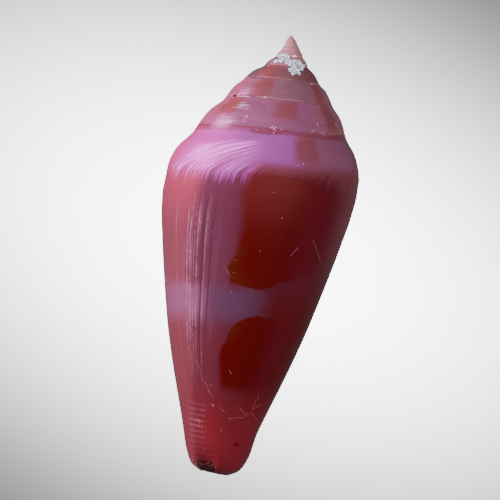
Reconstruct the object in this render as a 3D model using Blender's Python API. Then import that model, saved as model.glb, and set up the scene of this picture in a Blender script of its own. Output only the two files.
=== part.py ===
"""A slender cone shell, 30 mm from apex to front end, lying on its aperture.

Metres, +Z up. The apex points to +Y and the lip is underneath, on the -X side. The shell is one solid:
a sheet that coils clockwise seen from the apex, each whorl hiding the one before up to its shoulder,
with a narrow chamber that opens along the whole lip and out at the front end.
"""

import math

import bmesh
import bpy
from mathutils import Matrix, Vector

MM = 0.001

# Driving dimensions
FRONT_TIP = 29.8 * MM  # depth of the front end's furthest point below the apex
SUTURE_AT_LIP = 7.54 * MM  # how far below the apex the last whorl joins the one before, at the lip
WHORL_RATIO = 0.68  # each suture lies this share as far from the apex as the one a turn later
SPIRE_TURNS = 7  # whorls modelled above the lip; the tip above them is a plain cap
WALL = 0.45 * MM
LIP_WALL = 0.26 * MM  # the wall thins to this at the edge of the lip
FRONT_THINNING = 0.7  # and to this share of itself at the front end
FRONT_THINNING_REACH = (1.6, 2.0)
COLUMELLA = 0.58 * MM  # radius of the pillar in the middle, at the front end
FRONT_FACE = 29.76 * MM  # depth of the rim of the front end, below the apex
NOTCH = 0.42 * MM  # how far the canal's notch sets that rim back
FLAT = 0.05 * MM  # how deep the places it lies on are worn flat

# How it lies: the turn about its own axis and the lift of the apex at which it rests.
LIP_BEARING = math.radians(130.0)
APEX_LIFT = math.radians(9.5)
TIP_BEND = 0.22 * MM  # the first whorls lean over to the left by this much at the very tip
TIP_BEND_DEPTH = 1.4 * MM
TIP_RISE = 0.09 * MM  # the rounded cap of the tip

# Turns are counted from the lip, 0, back towards the apex. Down the wall, reaches run from the suture,
# 0, over the shoulder, 1, to the front end, 2.
CHAMBER_TURNS = 0.8
CANAL_TURNS = 0.46  # the front end is open from the lip back to here
THINNING_TURNS = 0.12  # the lip's wall thins over this much of a turn
FLARE = 0.05  # how much wider the lip stands at its front end
FLARE_TURNS = 0.14
SINUS_TURNS = 0.08  # how far the lip is set back between suture and shoulder
SINUS_FADE = 0.3
SINUS_RISE = (0.0, 0.5)
SINUS_FALL = (1.35, 0.55)

# The cone that the shoulders lie on, as depth below the apex and radius, in millimetres.
SHOULDER_LINE = (
    (0.0, 0.12),
    (0.2, 0.27),
    (0.63, 0.47),
    (1.26, 0.82),
    (1.85, 1.26),
    (2.5, 1.90),
    (3.28, 2.76),
    (4.0, 3.29),
    (4.81, 3.79),
    (5.91, 4.57),
    (7.13, 5.37),
    (8.64, 6.06),
    (10.48, 6.82),
    (12.0, 7.10),
)
BULGES = (0.064, 0.1)  # how far a whorl's top swells, as a share of its width: the spire, the lip
BULGE_TURNS = (-0.65, -0.1)
GROOVE_SHARE = (0.0, 0.45)  # below the suture the swelling starts slowly, which leaves a groove

# The side of a whorl: share of the way from shoulder to front end, share of the shoulder's radius.
SIDE_LINE = (
    (0.0, 1.0),
    (0.05, 1.0),
    (0.1, 0.986),
    (0.15, 0.965),
    (0.2, 0.935),
    (0.25, 0.905),
    (0.35, 0.838),
    (0.5, 0.729),
    (0.6, 0.642),
    (0.7, 0.545),
    (0.8, 0.441),
    (0.86, 0.384),
    (0.92, 0.340),
    (0.953, 0.302),
    (0.974, 0.266),
    (0.986, 0.228),
    (1.0, 0.145),
)
FRONT_SHOULDER = 6.43 * MM  # the front end keeps one radius all round: that of this shoulder
EVEN_SHARE = (0.84, 0.96)  # where down the side it settles to that radius
NOTCH_SHARE = (0.88, 1.0)  # where down the side the notch pulls the surface back
FLARE_SHARE = (0.8, 1.0)

# Behind the lip the side draws in to the pillar, over these turns and this part of its height.
PILLAR_TURNS = (-0.68, -1.0)
PILLAR_SHARE = (0.55, 1.0)
PILLAR_WAIST = 0.85  # share of its radius that is left before it reaches the columella
COLUMELLA_SHARE = (0.7, 1.0)

# The notch deepens from the first of these turns to the second and ends between the last two.
NOTCH_TURNS = (-0.41, -0.35, -0.27, -0.21)
TIP_OF_FRONT = (-0.68, 0.4 * MM)  # turn and radius of the lowest point of the closed front end

# Mesh
STEPS = 50  # columns in a turn
BAND_ROWS = 4  # rows from one suture to the next
JOINT_SHARE = 0.055  # the walls are fused this far down the side, below the suture
SIDE_ROWS = (
    0.11,
    0.19,
    0.27,
    0.36,
    0.45,
    0.54,
    0.63,
    0.71,
    0.78,
    0.85,
    0.93,
    0.965,
    0.985,
    1.0,
)
CEILING = 0.4  # share of the ramp at which the chamber's ceiling leaves the whorl inside it
CEILING_REACH = (0.0, 1.2)
CLOSING_TURNS = 0.1  # the wall's inner face meets the pillar's foot over this much of a turn
CLOSING_SHARE = (1.88, 2.0)
SLOPE_STEP = 0.01
WELD = 1e-7
SHELL_COLOUR = (0.42, 0.09, 0.13, 1.0)
ROUGHNESS = 0.3
SHARP = math.radians(40.0)


def smooth(low, high, value):
    """Rises from 0 at low to 1 at high, and stays there; low may be the larger."""
    share = min(1.0, max(0.0, (value - low) / (high - low)))
    return share * share * (3 - 2 * share)


def mix(start, end, share):
    return start + (end - start) * share


def along(line, x):
    """The smooth curve through the points of a line, read at x."""
    last = len(line) - 2
    here = 0
    while here < last and x > line[here + 1][0]:
        here += 1
    slopes = []
    for i in (here, here + 1):
        before = line[max(i - 1, 0)]
        after = line[min(i + 1, len(line) - 1)]
        slopes.append((after[1] - before[1]) / (after[0] - before[0]))
    (x0, y0), (x1, y1) = line[here], line[here + 1]
    span = x1 - x0
    u = (x - x0) / span
    rise = (2 * u**3 - 3 * u**2 + 1) * y0 + (3 * u**2 - 2 * u**3) * y1
    return rise + ((u**3 - 2 * u**2 + u) * slopes[0] + (u**3 - u**2) * slopes[1]) * span


def suture(turn):
    """Radius and depth of the line where the whorl made at this turn joins the one inside it."""
    depth = SUTURE_AT_LIP * WHORL_RATIO ** (-turn)
    return Vector((along(SHOULDER_LINE, depth / MM) * MM, depth))


def ramp(turn, share):
    """Radius and depth on the whorl's top, from its suture, 0, to its shoulder, 1."""
    top, shoulder = suture(turn), suture(turn + 1)
    chord = shoulder - top
    outward = Vector((chord.y, -chord.x))
    swell = mix(*BULGES, smooth(*BULGE_TURNS, turn)) * math.sin(math.pi * share)
    return top + chord * share + outward * swell * smooth(*GROOVE_SHARE, share)


def notch(turn):
    """How far the notch of the canal sets the front rim back here."""
    start, deep, rise, end = NOTCH_TURNS
    return NOTCH * smooth(start, deep, turn) * smooth(end, rise, turn)


def side(turn, share):
    """Radius and depth on the whorl's side, from its shoulder, 0, to the front end, 1."""
    shoulder = suture(turn + 1)
    radius = along(SIDE_LINE, share) * mix(shoulder.x, FRONT_SHOULDER, smooth(*EVEN_SHARE, share))
    radius *= 1 + FLARE * smooth(*FLARE_SHARE, share) * smooth(-FLARE_TURNS, 0.0, turn)
    slim = smooth(*PILLAR_SHARE, share) * smooth(*PILLAR_TURNS, turn)
    pillar = mix(radius * PILLAR_WAIST, COLUMELLA, smooth(*COLUMELLA_SHARE, share))
    depth = mix(shoulder.y, FRONT_FACE, share) - notch(turn) * smooth(*NOTCH_SHARE, share)
    return Vector((mix(radius, pillar, slim), depth))


def wall(turn, s):
    """The outer face: s runs from the suture, 0, over the shoulder, 1, to the front end, 2."""
    return ramp(turn, s) if s < 1 else side(turn, s - 1)


def inner_wall(turn, s):
    """The same point on the wall's inner face."""
    low, high = max(s - SLOPE_STEP, 0.0), min(s + SLOPE_STEP, 2.0)
    slope = (wall(turn, high) - wall(turn, low)).normalized()
    thick = mix(WALL, LIP_WALL, smooth(-THINNING_TURNS, 0.0, turn))
    thick *= mix(1.0, FRONT_THINNING, smooth(*FRONT_THINNING_REACH, s))
    point = wall(turn, s) + Vector((-slope.y, slope.x)) * thick
    foot = side(turn - 1, 1.0)
    closed = smooth(CLOSING_TURNS - CANAL_TURNS, -CANAL_TURNS, turn) * smooth(*CLOSING_SHARE, s)
    return mix(point, foot, closed)


def lip_setback(turn, s):
    """The bay in the lip between suture and shoulder, in turns, fading out away from the lip."""
    bay = smooth(*SINUS_RISE, s) * smooth(*SINUS_FALL, s)
    return -SINUS_TURNS * bay * smooth(-SINUS_FADE, 0.0, turn)


def place(turn, section):
    """A point of the coil from its turn and its radius and depth."""
    angle = LIP_BEARING - math.tau * turn
    bend = TIP_BEND * max(0.0, 1 - section.y / TIP_BEND_DEPTH) ** 2
    return Vector((section.x * math.cos(angle) - bend, section.x * math.sin(angle), -section.y))


def outer_point(turn, s):
    return place(turn + lip_setback(turn, s), wall(turn, s))


def inner_point(turn, pair):
    """A point of the wall's inner face; along its edges it lies on the whorl inside."""
    outer_s, inner_s = pair
    if outer_s == 0:
        return outer_point(turn - 1, 1 + JOINT_SHARE)
    if outer_s == 2 and turn <= -CANAL_TURNS + WELD:
        return outer_point(turn - 1, 2.0)
    return place(turn + lip_setback(turn, outer_s), inner_wall(turn, inner_s))


def counted(first, last):
    """Turns from first to last, one for each column."""
    count = round((last - first) * STEPS)
    return [first + i / STEPS for i in range(count + 1)]


def side_rows():
    return [1 + JOINT_SHARE] + [1 + share for share in SIDE_ROWS]


def wall_rows():
    """Pairs of s on the outer and inner face, for every row from suture to front end."""
    outer = [i / BAND_ROWS for i in range(BAND_ROWS + 1)] + side_rows()
    inner = [max(s, mix(CEILING, s, smooth(*CEILING_REACH, s))) for s in outer]
    return list(zip(outer, inner))


def sheet(bm, turns, rows, point):
    """A grid of turns by rows, rolled up: each corner goes where point says."""
    made = bmesh.ops.create_grid(bm, x_segments=len(turns) - 1, y_segments=len(rows) - 1, size=1.0)
    for vert in made["verts"]:
        column = round((vert.co.x + 1) / 2 * (len(turns) - 1))
        row = round((vert.co.y + 1) / 2 * (len(rows) - 1))
        vert.co = point(turns[column], rows[row])


def add_outside(bm):
    """The spire's whorls, and the side of the last one."""
    band = [i / BAND_ROWS for i in range(BAND_ROWS + 1)]
    sheet(bm, counted(-SPIRE_TURNS, 0.0), band, outer_point)
    sheet(bm, counted(-1.0, 0.0), [1.0] + side_rows(), outer_point)


def add_chamber(bm):
    """The pillar side of the chamber and the inner face of the wall round it."""
    sheet(bm, counted(-1 - CHAMBER_TURNS, -1.0), side_rows(), outer_point)
    sheet(bm, counted(-CHAMBER_TURNS, 0.0), wall_rows(), inner_point)


def add_rims(bm):
    """The edge of the lip, and the edge of the wall where the canal opens at the front."""
    def lip_edge(across, pair):
        return inner_point(0.0, pair) if across else outer_point(0.0, pair[0])

    def canal_edge(turn, across):
        return inner_point(turn, wall_rows()[-1]) if across else outer_point(turn, 2.0)

    sheet(bm, [0, 1], wall_rows(), lip_edge)
    sheet(bm, counted(-CANAL_TURNS, 0.0), [0, 1], canal_edge)


def close_ends(bm):
    """Fills the three holes left: the tip of the spire, the chamber's far end and the front end."""
    bmesh.ops.remove_doubles(bm, verts=bm.verts, dist=WELD)
    edges = [edge for edge in bm.edges if edge.is_boundary]
    faces = bmesh.ops.holes_fill(bm, edges=edges, sides=0)["faces"]
    tip = max(faces, key=lambda face: face.calc_center_median().z)
    front = min(faces, key=lambda face: face.calc_center_median().z)
    turn, radius = TIP_OF_FRONT
    lowest = place(turn, Vector((radius, FRONT_TIP)))
    for face, centre in ((tip, Vector((-TIP_BEND, 0, TIP_RISE))), (front, lowest)):
        bmesh.ops.poke(bm, faces=[face], center_mode="MEAN")["verts"][0].co = centre


def lay_down(bm):
    """Turns the shell from upright to the way it rests, wears its resting places flat and centres it."""
    turned = Matrix.Rotation(APEX_LIFT - math.pi / 2, 4, "X")
    bmesh.ops.transform(bm, matrix=turned, verts=bm.verts)
    low = min(vert.co.z for vert in bm.verts)
    bmesh.ops.translate(bm, vec=Vector((0, 0, -low - FLAT)), verts=bm.verts)
    every = bm.verts[:] + bm.edges[:] + bm.faces[:]
    cut = bmesh.ops.bisect_plane(bm, geom=every, plane_co=(0, 0, 0), plane_no=(0, 0, -1), clear_outer=True)
    rims = [item for item in cut["geom_cut"] if isinstance(item, bmesh.types.BMEdge)]
    bmesh.ops.holes_fill(bm, edges=rims, sides=0)
    xs = [vert.co.x for vert in bm.verts]
    ys = [vert.co.y for vert in bm.verts]
    middle = Vector(((min(xs) + max(xs)) / 2, (min(ys) + max(ys)) / 2, 0))
    bmesh.ops.translate(bm, vec=-middle, verts=bm.verts)


def shell_material():
    material = bpy.data.materials.new("shell")
    material.use_nodes = True
    shader = material.node_tree.nodes["Principled BSDF"]
    shader.inputs["Base Color"].default_value = SHELL_COLOUR
    shader.inputs["Roughness"].default_value = ROUGHNESS
    material.diffuse_color = SHELL_COLOUR
    return material


def make_shell():
    bm = bmesh.new()
    add_outside(bm)
    add_chamber(bm)
    add_rims(bm)
    close_ends(bm)
    lay_down(bm)
    bmesh.ops.triangulate(bm, faces=bm.faces)
    bmesh.ops.recalc_face_normals(bm, faces=bm.faces)
    mesh = bpy.data.meshes.new("shell")
    bm.to_mesh(mesh)
    bm.free()
    mesh.shade_smooth()
    mesh.set_sharp_from_angle(angle=SHARP)
    mesh.materials.append(shell_material())
    bpy.context.collection.objects.link(bpy.data.objects.new("shell", mesh))


def main():
    for item in list(bpy.data.objects):
        bpy.data.objects.remove(item, do_unlink=True)
    make_shell()


main()
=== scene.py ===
# %% [markdown]
# # Dressing a small cone shell
#
# The real thing is one piece: a glossy, rose and maroon sea shell about 30 mm long, lying on its opening.
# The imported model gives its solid. This lesson replaces that plain solid with a finer one made by the
# same rule of growth, and then adds what lies on it: a crust of lime, a few specks and some lint.

import math
import random
from types import SimpleNamespace

import bmesh
import bpy
from mathutils import Matrix, Vector, noise
from mathutils.bvhtree import BVHTree


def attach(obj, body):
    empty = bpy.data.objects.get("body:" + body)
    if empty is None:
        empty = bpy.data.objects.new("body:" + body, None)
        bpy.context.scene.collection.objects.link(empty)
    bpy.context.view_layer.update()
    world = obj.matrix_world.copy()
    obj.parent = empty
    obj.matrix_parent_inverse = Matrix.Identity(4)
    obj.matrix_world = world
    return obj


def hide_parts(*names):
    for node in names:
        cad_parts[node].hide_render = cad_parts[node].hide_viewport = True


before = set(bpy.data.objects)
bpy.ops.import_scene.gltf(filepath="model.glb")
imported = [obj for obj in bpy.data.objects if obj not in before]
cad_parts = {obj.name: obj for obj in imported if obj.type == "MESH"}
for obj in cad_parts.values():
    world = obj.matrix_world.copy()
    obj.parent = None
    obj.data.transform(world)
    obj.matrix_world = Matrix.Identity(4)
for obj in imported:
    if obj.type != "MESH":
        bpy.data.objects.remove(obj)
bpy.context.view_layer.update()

# %% [markdown]
# ## The rule of growth
#
# A snail builds its shell at the lip, a little at a time, and each turn is a larger copy of the last.
# So one rule gives the whole form: how deep the join between two whorls lies after so many turns, and
# how wide the whorl is at that depth. It could be lofted from drawn sections, but a rule keeps every
# whorl true to the next. The numbers are those of the solid, but for two more turns at the very tip, so
# the fine shell lies on it everywhere.

# %% Driving dimensions
MM = 0.001
FRONT_TIP = 29.8 * MM
SUTURE_AT_LIP = 7.54 * MM
WHORL_RATIO = 0.68
SPIRE_TURNS = 10
WALL = 0.45 * MM
LIP_WALL = 0.26 * MM
FRONT_THINNING = 0.7
FRONT_THINNING_REACH = (1.6, 2.0)
COLUMELLA = 0.58 * MM
FRONT_FACE = 29.76 * MM
NOTCH = 0.42 * MM
LIP_BEARING = math.radians(130.0)
APEX_LIFT = math.radians(9.5)
TIP_BEND = 0.22 * MM
TIP_BEND_DEPTH = 1.4 * MM
TIP_RISE = 0.09 * MM

# %% Turns, counted from the lip, 0, back towards the apex
CHAMBER_TURNS = 0.8
CANAL_TURNS = 0.46
THINNING_TURNS = 0.12
FLARE = 0.05
FLARE_TURNS = 0.14
SINUS_TURNS = 0.08
SINUS_FADE = 0.3
SINUS_RISE = (0.0, 0.5)
SINUS_FALL = (1.35, 0.55)
PILLAR_TURNS = (-0.68, -1.0)
NOTCH_TURNS = (-0.41, -0.35, -0.27, -0.21)
TIP_OF_FRONT = (-0.68, 0.4 * MM)

# %% The cone that the shoulders lie on: depth below the apex and radius, in millimetres
SHOULDER_LINE = (
    (0.0, 0.12),
    (0.2, 0.27),
    (0.63, 0.47),
    (1.26, 0.82),
    (1.85, 1.26),
    (2.5, 1.90),
    (3.28, 2.76),
    (4.0, 3.29),
    (4.81, 3.79),
    (5.91, 4.57),
    (7.13, 5.37),
    (8.64, 6.06),
    (10.48, 6.82),
    (12.0, 7.10),
)
BULGES = (0.064, 0.1)  # how far a whorl's top swells, as a share of its width: the spire, the lip
BULGE_TURNS = (-0.65, -0.1)
GROOVE_SHARE = (0.0, 0.45)  # below the suture the swelling starts slowly, which leaves a groove

# %% The side of a whorl: share of the way down, share of the shoulder's radius
SIDE_LINE = (
    (0.0, 1.0),
    (0.05, 1.0),
    (0.1, 0.986),
    (0.15, 0.965),
    (0.2, 0.935),
    (0.25, 0.905),
    (0.35, 0.838),
    (0.5, 0.729),
    (0.6, 0.642),
    (0.7, 0.545),
    (0.8, 0.441),
    (0.86, 0.384),
    (0.92, 0.340),
    (0.953, 0.302),
    (0.974, 0.266),
    (0.986, 0.228),
    (1.0, 0.145),
)
FRONT_SHOULDER = 6.43 * MM
EVEN_SHARE = (0.84, 0.96)
NOTCH_SHARE = (0.88, 1.0)
FLARE_SHARE = (0.8, 1.0)
PILLAR_SHARE = (0.55, 1.0)
PILLAR_WAIST = 0.85
COLUMELLA_SHARE = (0.7, 1.0)
CLOSING_TURNS = 0.1
CLOSING_SHARE = (1.88, 2.0)
JOINT_SHARE = 0.055
CEILING = 0.4
CEILING_REACH = (0.0, 1.2)
SLOPE_STEP = 0.01


# %% Two small tools: a smooth step and a smooth curve through points
def smooth(low, high, value):
    """Rises from 0 at low to 1 at high, and stays there; low may be the larger."""
    share = min(1.0, max(0.0, (value - low) / (high - low)))
    return share * share * (3 - 2 * share)


def mix(start, end, share):
    return start + (end - start) * share


def along(line, x):
    """The smooth curve through the points of a line, read at x."""
    last = len(line) - 2
    here = 0
    while here < last and x > line[here + 1][0]:
        here += 1
    slopes = []
    for i in (here, here + 1):
        before = line[max(i - 1, 0)]
        after = line[min(i + 1, len(line) - 1)]
        slopes.append((after[1] - before[1]) / (after[0] - before[0]))
    (x0, y0), (x1, y1) = line[here], line[here + 1]
    span = x1 - x0
    u = (x - x0) / span
    rise = (2 * u**3 - 3 * u**2 + 1) * y0 + (3 * u**2 - 2 * u**3) * y1
    return rise + ((u**3 - 2 * u**2 + u) * slopes[0] + (u**3 - u**2) * slopes[1]) * span


# %% The section of a whorl, as radius and depth
def suture(turn):
    """Where the whorl made at this turn joins the one inside it."""
    depth = SUTURE_AT_LIP * WHORL_RATIO ** (-turn)
    return Vector((along(SHOULDER_LINE, depth / MM) * MM, depth))


def ramp(turn, share):
    """On the whorl's top, from its suture, 0, to its shoulder, 1."""
    top, shoulder = suture(turn), suture(turn + 1)
    chord = shoulder - top
    outward = Vector((chord.y, -chord.x))
    swell = mix(*BULGES, smooth(*BULGE_TURNS, turn)) * math.sin(math.pi * share)
    return top + chord * share + outward * swell * smooth(*GROOVE_SHARE, share)


def notch(turn):
    """How far the notch of the canal sets the front rim back here."""
    start, deep, rise, end = NOTCH_TURNS
    return NOTCH * smooth(start, deep, turn) * smooth(end, rise, turn)


def side(turn, share):
    """On the whorl's side, from its shoulder, 0, to the front end, 1."""
    shoulder = suture(turn + 1)
    radius = along(SIDE_LINE, share) * mix(shoulder.x, FRONT_SHOULDER, smooth(*EVEN_SHARE, share))
    radius *= 1 + FLARE * smooth(*FLARE_SHARE, share) * smooth(-FLARE_TURNS, 0.0, turn)
    slim = smooth(*PILLAR_SHARE, share) * smooth(*PILLAR_TURNS, turn)
    pillar = mix(radius * PILLAR_WAIST, COLUMELLA, smooth(*COLUMELLA_SHARE, share))
    depth = mix(shoulder.y, FRONT_FACE, share) - notch(turn) * smooth(*NOTCH_SHARE, share)
    return Vector((mix(radius, pillar, slim), depth))


def wall(turn, s):
    """The plain outer face: s runs from the suture, 0, over the shoulder, 1, to the front end, 2."""
    return ramp(turn, s) if s < 1 else side(turn, s - 1)


def outward(turn, s):
    """The direction straight out of that face, in its section."""
    low, high = max(s - SLOPE_STEP, 0.0), min(s + SLOPE_STEP, 2.0)
    slope = (wall(turn, high) - wall(turn, low)).normalized()
    return Vector((slope.y, -slope.x))


print("depth of the last suture, in mm:", round(suture(0).y / MM, 2))

# %% [markdown]
# ## The relief
#
# A cone's side looks smooth, but growth leaves fine ridges along the old lips, a few of them strong, and
# near the front end low cords run round it. They could be a bump in the material alone, but the light
# runs along them, so the larger ones are real height on the mesh and only the finest are left to bump.

# %% Growth lines: an old lip curves ever further back on the ramp, and trails a little at the front end
SWEEP = 0.147
SWEEP_FROM = 1.25
TRAIL = 0.012
TRAIL_REACH = (1.5, 1.9)


def grown(turn, s):
    """The turn at which the growth line through this point crosses the whorl's side."""
    return turn + SWEEP * max(0.0, SWEEP_FROM - s) ** 2 + TRAIL * smooth(*TRAIL_REACH, s)


# %% Growth ridges: turn, half-width in turns, height in millimetres
RIDGES = (
    (-0.2050, 0.0020, 0.006),
    (-0.2235, 0.0016, 0.014),
    (-0.2310, 0.0018, 0.008),
    (-0.2475, 0.0016, 0.014),
    (-0.2545, 0.0022, 0.022),
    (-0.2625, 0.0020, 0.030),
    (-0.2675, 0.0014, 0.016),
    (-0.2720, 0.0016, 0.020),
    (-0.2785, 0.0018, 0.030),
    (-0.2830, 0.0014, 0.018),
    (-0.2950, 0.0024, 0.017),
    (-0.3010, 0.0020, 0.015),
    (-0.3135, 0.0020, 0.018),
    (-0.3215, 0.0036, 0.022),
)
CORD_SPACING = 0.365 * MM
CORD_AT = 26.42 * MM
CORD_HEIGHT = 0.012 * MM
LINE_HEIGHT = 0.006 * MM
RIDGE_WANDER = 0.0012  # how far a ridge strays from its growth line, in turns
RIDGES_END = (1.92, 1.6)
CORD_REACH = ((1.72, 1.80), (2.0, 1.97))


def ridge_height(turn, s):
    """The named ridges and the fine lines between them, along the growth lines."""
    line = grown(turn, s)
    high = 0.0
    for centre, half, height in RIDGES:
        wander = RIDGE_WANDER * noise.noise(Vector((centre * 90, s * 5, 0)))
        off = (line + wander - centre) / half
        if abs(off) < 3:
            fade = 0.62 + 0.5 * noise.noise(Vector((centre * 70, s * 9, 3)))
            high += height * MM * fade * math.exp(-off * off)
    high *= smooth(*RIDGES_END, s)
    fine = noise.noise(Vector((line * 150, s * 1.5, 7))) + 0.6 * noise.noise(Vector((line * 330, s * 2, 2)))
    return (high + LINE_HEIGHT * fine) * smooth(0.05, 0.3, s)


def cord(turn, s):
    """The low cords round the front end: 1 on a crest, 0 between."""
    wave = 0.5 + 0.5 * math.cos(math.tau * (wall(turn, s).y - CORD_AT) / CORD_SPACING)
    return wave * smooth(*CORD_REACH[0], s) * smooth(*CORD_REACH[1], s)


SHOULDER_ROUNDING = 0.045 * MM
ROUNDING_REACH = (0.13, 0.03)  # in the way down: on the ramp, on the side


def shoulder_cut(s):
    """How much of the shoulder's corner is worn away here."""
    off = (s - 1) / ROUNDING_REACH[s > 1]
    return SHOULDER_ROUNDING * math.exp(-off * off)


def relief_share(turn, s):
    """How much of the relief shows; none at the sutures, so that the whorls still meet."""
    last_whorl = smooth(-1.0, -0.9, turn)
    fade = smooth(0.0, 0.12, s)
    if s < 1:
        return fade * mix(smooth(1.0, 0.9, s), 1.0, last_whorl)
    return fade * last_whorl


print("a strong ridge on the side, in mm:", round(ridge_height(-0.279, 1.3) / MM, 4))

# %% [markdown]
# ## Where the blotches lie
#
# The colours were laid down at the growing lip, so the pattern is planned in turns and in the way down
# the whorl. The deep blotches are drawn as outlines, the brown ones are plain rounded patches. Every
# corner of the mesh keeps how far inside one it lies, and the material draws the edge from that, wavy
# and soft. Painting each corner would show the mesh's steps.

# %% Deep blotches: outlines, as turn and way down
LARGE_BLOTCH = (
    (-0.345, 1.02), (-0.350, 0.90), (-0.380, 0.74), (-0.410, 0.77), (-0.434, 0.81), (-0.470, 0.86),
    (-0.515, 0.92), (-0.545, 1.05), (-0.555, 1.20), (-0.550, 1.30), (-0.520, 1.335), (-0.497, 1.343),
    (-0.470, 1.342), (-0.450, 1.347), (-0.438, 1.363), (-0.418, 1.377), (-0.384, 1.373), (-0.352, 1.371),
    (-0.346, 1.356), (-0.349, 1.339), (-0.340, 1.316), (-0.346, 1.292), (-0.352, 1.255), (-0.352, 1.185),
    (-0.346, 1.06),
)
LOWER_BLOTCH = (
    (-0.360, 1.550), (-0.360, 1.530), (-0.367, 1.507), (-0.384, 1.482), (-0.401, 1.464), (-0.420, 1.458),
    (-0.435, 1.461), (-0.480, 1.468), (-0.515, 1.510), (-0.525, 1.600), (-0.510, 1.690), (-0.470, 1.722),
    (-0.430, 1.727), (-0.394, 1.727), (-0.361, 1.722), (-0.348, 1.677), (-0.341, 1.623), (-0.347, 1.580),
)
HIDDEN_SHIFTS = (0.45, -0.33)  # the same two again, out of sight
TURN_SPREAD = 42.0 * MM
RAMP_SPREAD = 4.3 * MM
SIDE_SPREAD = 18.7 * MM
FAR_OFF = 3.0 * MM


def spread(turn, s):
    """A point of the wall on a flat sheet of about the same size."""
    return Vector((turn * TURN_SPREAD, (s - 1) * (SIDE_SPREAD if s > 1 else RAMP_SPREAD)))


def outlines():
    """The outlines of every deep blotch, laid flat, each with its box."""
    flat = []
    for outline in (LARGE_BLOTCH, LOWER_BLOTCH):
        for shift in (0.0, *HIDDEN_SHIFTS):
            points = [spread(turn + shift, s) for turn, s in outline]
            xs, ys = [point.x for point in points], [point.y for point in points]
            box = (min(xs) - FAR_OFF, max(xs) + FAR_OFF, min(ys) - FAR_OFF, max(ys) + FAR_OFF)
            flat.append((points, box))
    return flat


DEEP = outlines()


def inside_outline(point, outline):
    """How far inside a closed outline a point lies; less than nothing outside."""
    nearest = FAR_OFF
    crossings = 0
    for i, end in enumerate(outline):
        start = outline[i - 1]
        run = end - start
        share = min(1.0, max(0.0, (point - start).dot(run) / run.dot(run)))
        nearest = min(nearest, (point - start - run * share).length)
        if (start.y > point.y) != (end.y > point.y):
            crossings += point.x < start.x + run.x * (point.y - start.y) / run.y
    return nearest if crossings % 2 else -nearest


def deepness(turn, s):
    """Millimetres inside the nearest deep blotch."""
    if turn < -1:
        return -FAR_OFF / MM
    point = spread(turn, s)
    best = -FAR_OFF
    for outline, (left, right, bottom, top) in DEEP:
        if left < point.x < right and bottom < point.y < top:
            best = max(best, inside_outline(point, outline))
    return best / MM


# %% Brown patches, and whitish patches of painted highlight: turn and way down of the middle, and half their reach in both
BROWN_PATCHES = (
    (-0.100, 0.030, 0.45, 0.40),
    (-0.4525, 0.026, 0.38, 0.46),
    (-0.600, 0.020, 0.40, 0.42),
    (-0.745, 0.032, 0.45, 0.45),
    (-0.900, 0.025, 0.40, 0.38),
    (-1.080, 0.030, 0.40, 0.40),
    (-1.245, 0.030, 0.36, 0.36),
    (-1.404, 0.036, 0.34, 0.38),
    (-1.5375, 0.027, 0.42, 0.52),
    (-1.690, 0.030, 0.45, 0.40),
    (-1.850, 0.034, 0.40, 0.42),
    (-2.040, 0.026, 0.45, 0.50),
    (-2.315, 0.038, 0.50, 0.60),
    (-2.528, 0.028, 0.50, 0.55),
    (-2.730, 0.030, 0.50, 0.50),
    (-2.920, 0.024, 0.50, 0.50),
    (-3.300, 0.046, 0.50, 0.60),
    (-3.560, 0.030, 0.50, 0.60),
)
# Whitish patches: painted highlight where the glaze mirrors the window on the upper whorls.
GLINT_PATCHES = (
    (-1.262, 0.036, 0.86, 0.16),
    (-1.285, 0.030, 0.30, 0.24),
    (-1.312, 0.006, 0.72, 0.16),
    (-2.275, 0.028, 0.965, 0.05),
    (-2.335, 0.006, 0.93, 0.08),
)


def nearness(turn, s, patches):
    """1 at the heart of a patch, 0 on its edge, and less outside."""
    best = -1.0
    for middle, half, down, reach in patches:
        across = (turn - middle) / half
        if abs(across) < 2:
            best = max(best, 1 - (across**4 + ((s - down) / reach) ** 4) ** 0.25)
    return best


print("from the middle of the large blotch to its edge, in mm:", round(deepness(-0.45, 1.15), 2))

# %% [markdown]
# ## The coiled sheet
#
# The shell is one sheet rolled up. A flat grid with a column for each step of a turn and a row for each
# step down the wall is the plainest start: each of its corners is carried to its place on the coil. The
# columns are finer where the ridges are, and repeat every turn, so that each whorl welds to the next.

# %% Columns and rows
COARSE, FINE = 150, 750
FINE_FROM, FINE_TO = 0.34, 0.22


def offsets():
    """Steps back through one turn, the fine ones where the ridges are."""
    steps = [i / COARSE for i in range(round(FINE_TO * COARSE))]
    steps += [FINE_TO + i / FINE for i in range(round((FINE_FROM - FINE_TO) * FINE))]
    steps += [FINE_FROM + i / COARSE for i in range(round((1 - FINE_FROM) * COARSE))]
    return steps


def counted(first, last):
    """Every column's turn from first to last."""
    turns = [-whole - step for whole in range(SPIRE_TURNS + 2) for step in offsets()]
    slack = 0.1 / FINE
    return sorted(turn for turn in turns if first - slack < turn < last + slack)


TOP_ROWS = [0.0, 0.03, 0.08, 0.15, 0.24, 0.34, 0.45, 0.56, 0.67, 0.77, 0.86, 0.93, 0.975, 1.0]
SIDE_ROWS = [1 + JOINT_SHARE]
STRETCHES = (  # of the side: where it starts, how long it is, how many rows it has
    (1.07, 0.18, 7),
    (1.25, 0.25, 22),
    (1.5, 0.25, 9),
    (1.75, 0.25, 60),
)
for first, length, count in STRETCHES:
    SIDE_ROWS += [first + length * i / count for i in range(count)]
SIDE_ROWS.append(2.0)
print(len(counted(-1.0, 0.0)) - 1, "columns in a turn,", len(TOP_ROWS) + len(SIDE_ROWS) - 1, "rows")


# %% Where a point of the coil is, upright, and what is remembered of it
def place(turn, section):
    angle = LIP_BEARING - math.tau * turn
    bend = TIP_BEND * max(0.0, 1 - section.y / TIP_BEND_DEPTH) ** 2
    return Vector((section.x * math.cos(angle) - bend, section.x * math.sin(angle), -section.y))


PLAIN = (0.0, 0.0, 0.0, -FAR_OFF / MM, -1.0, -1.0)  # the notes of a face without relief or pattern


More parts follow.
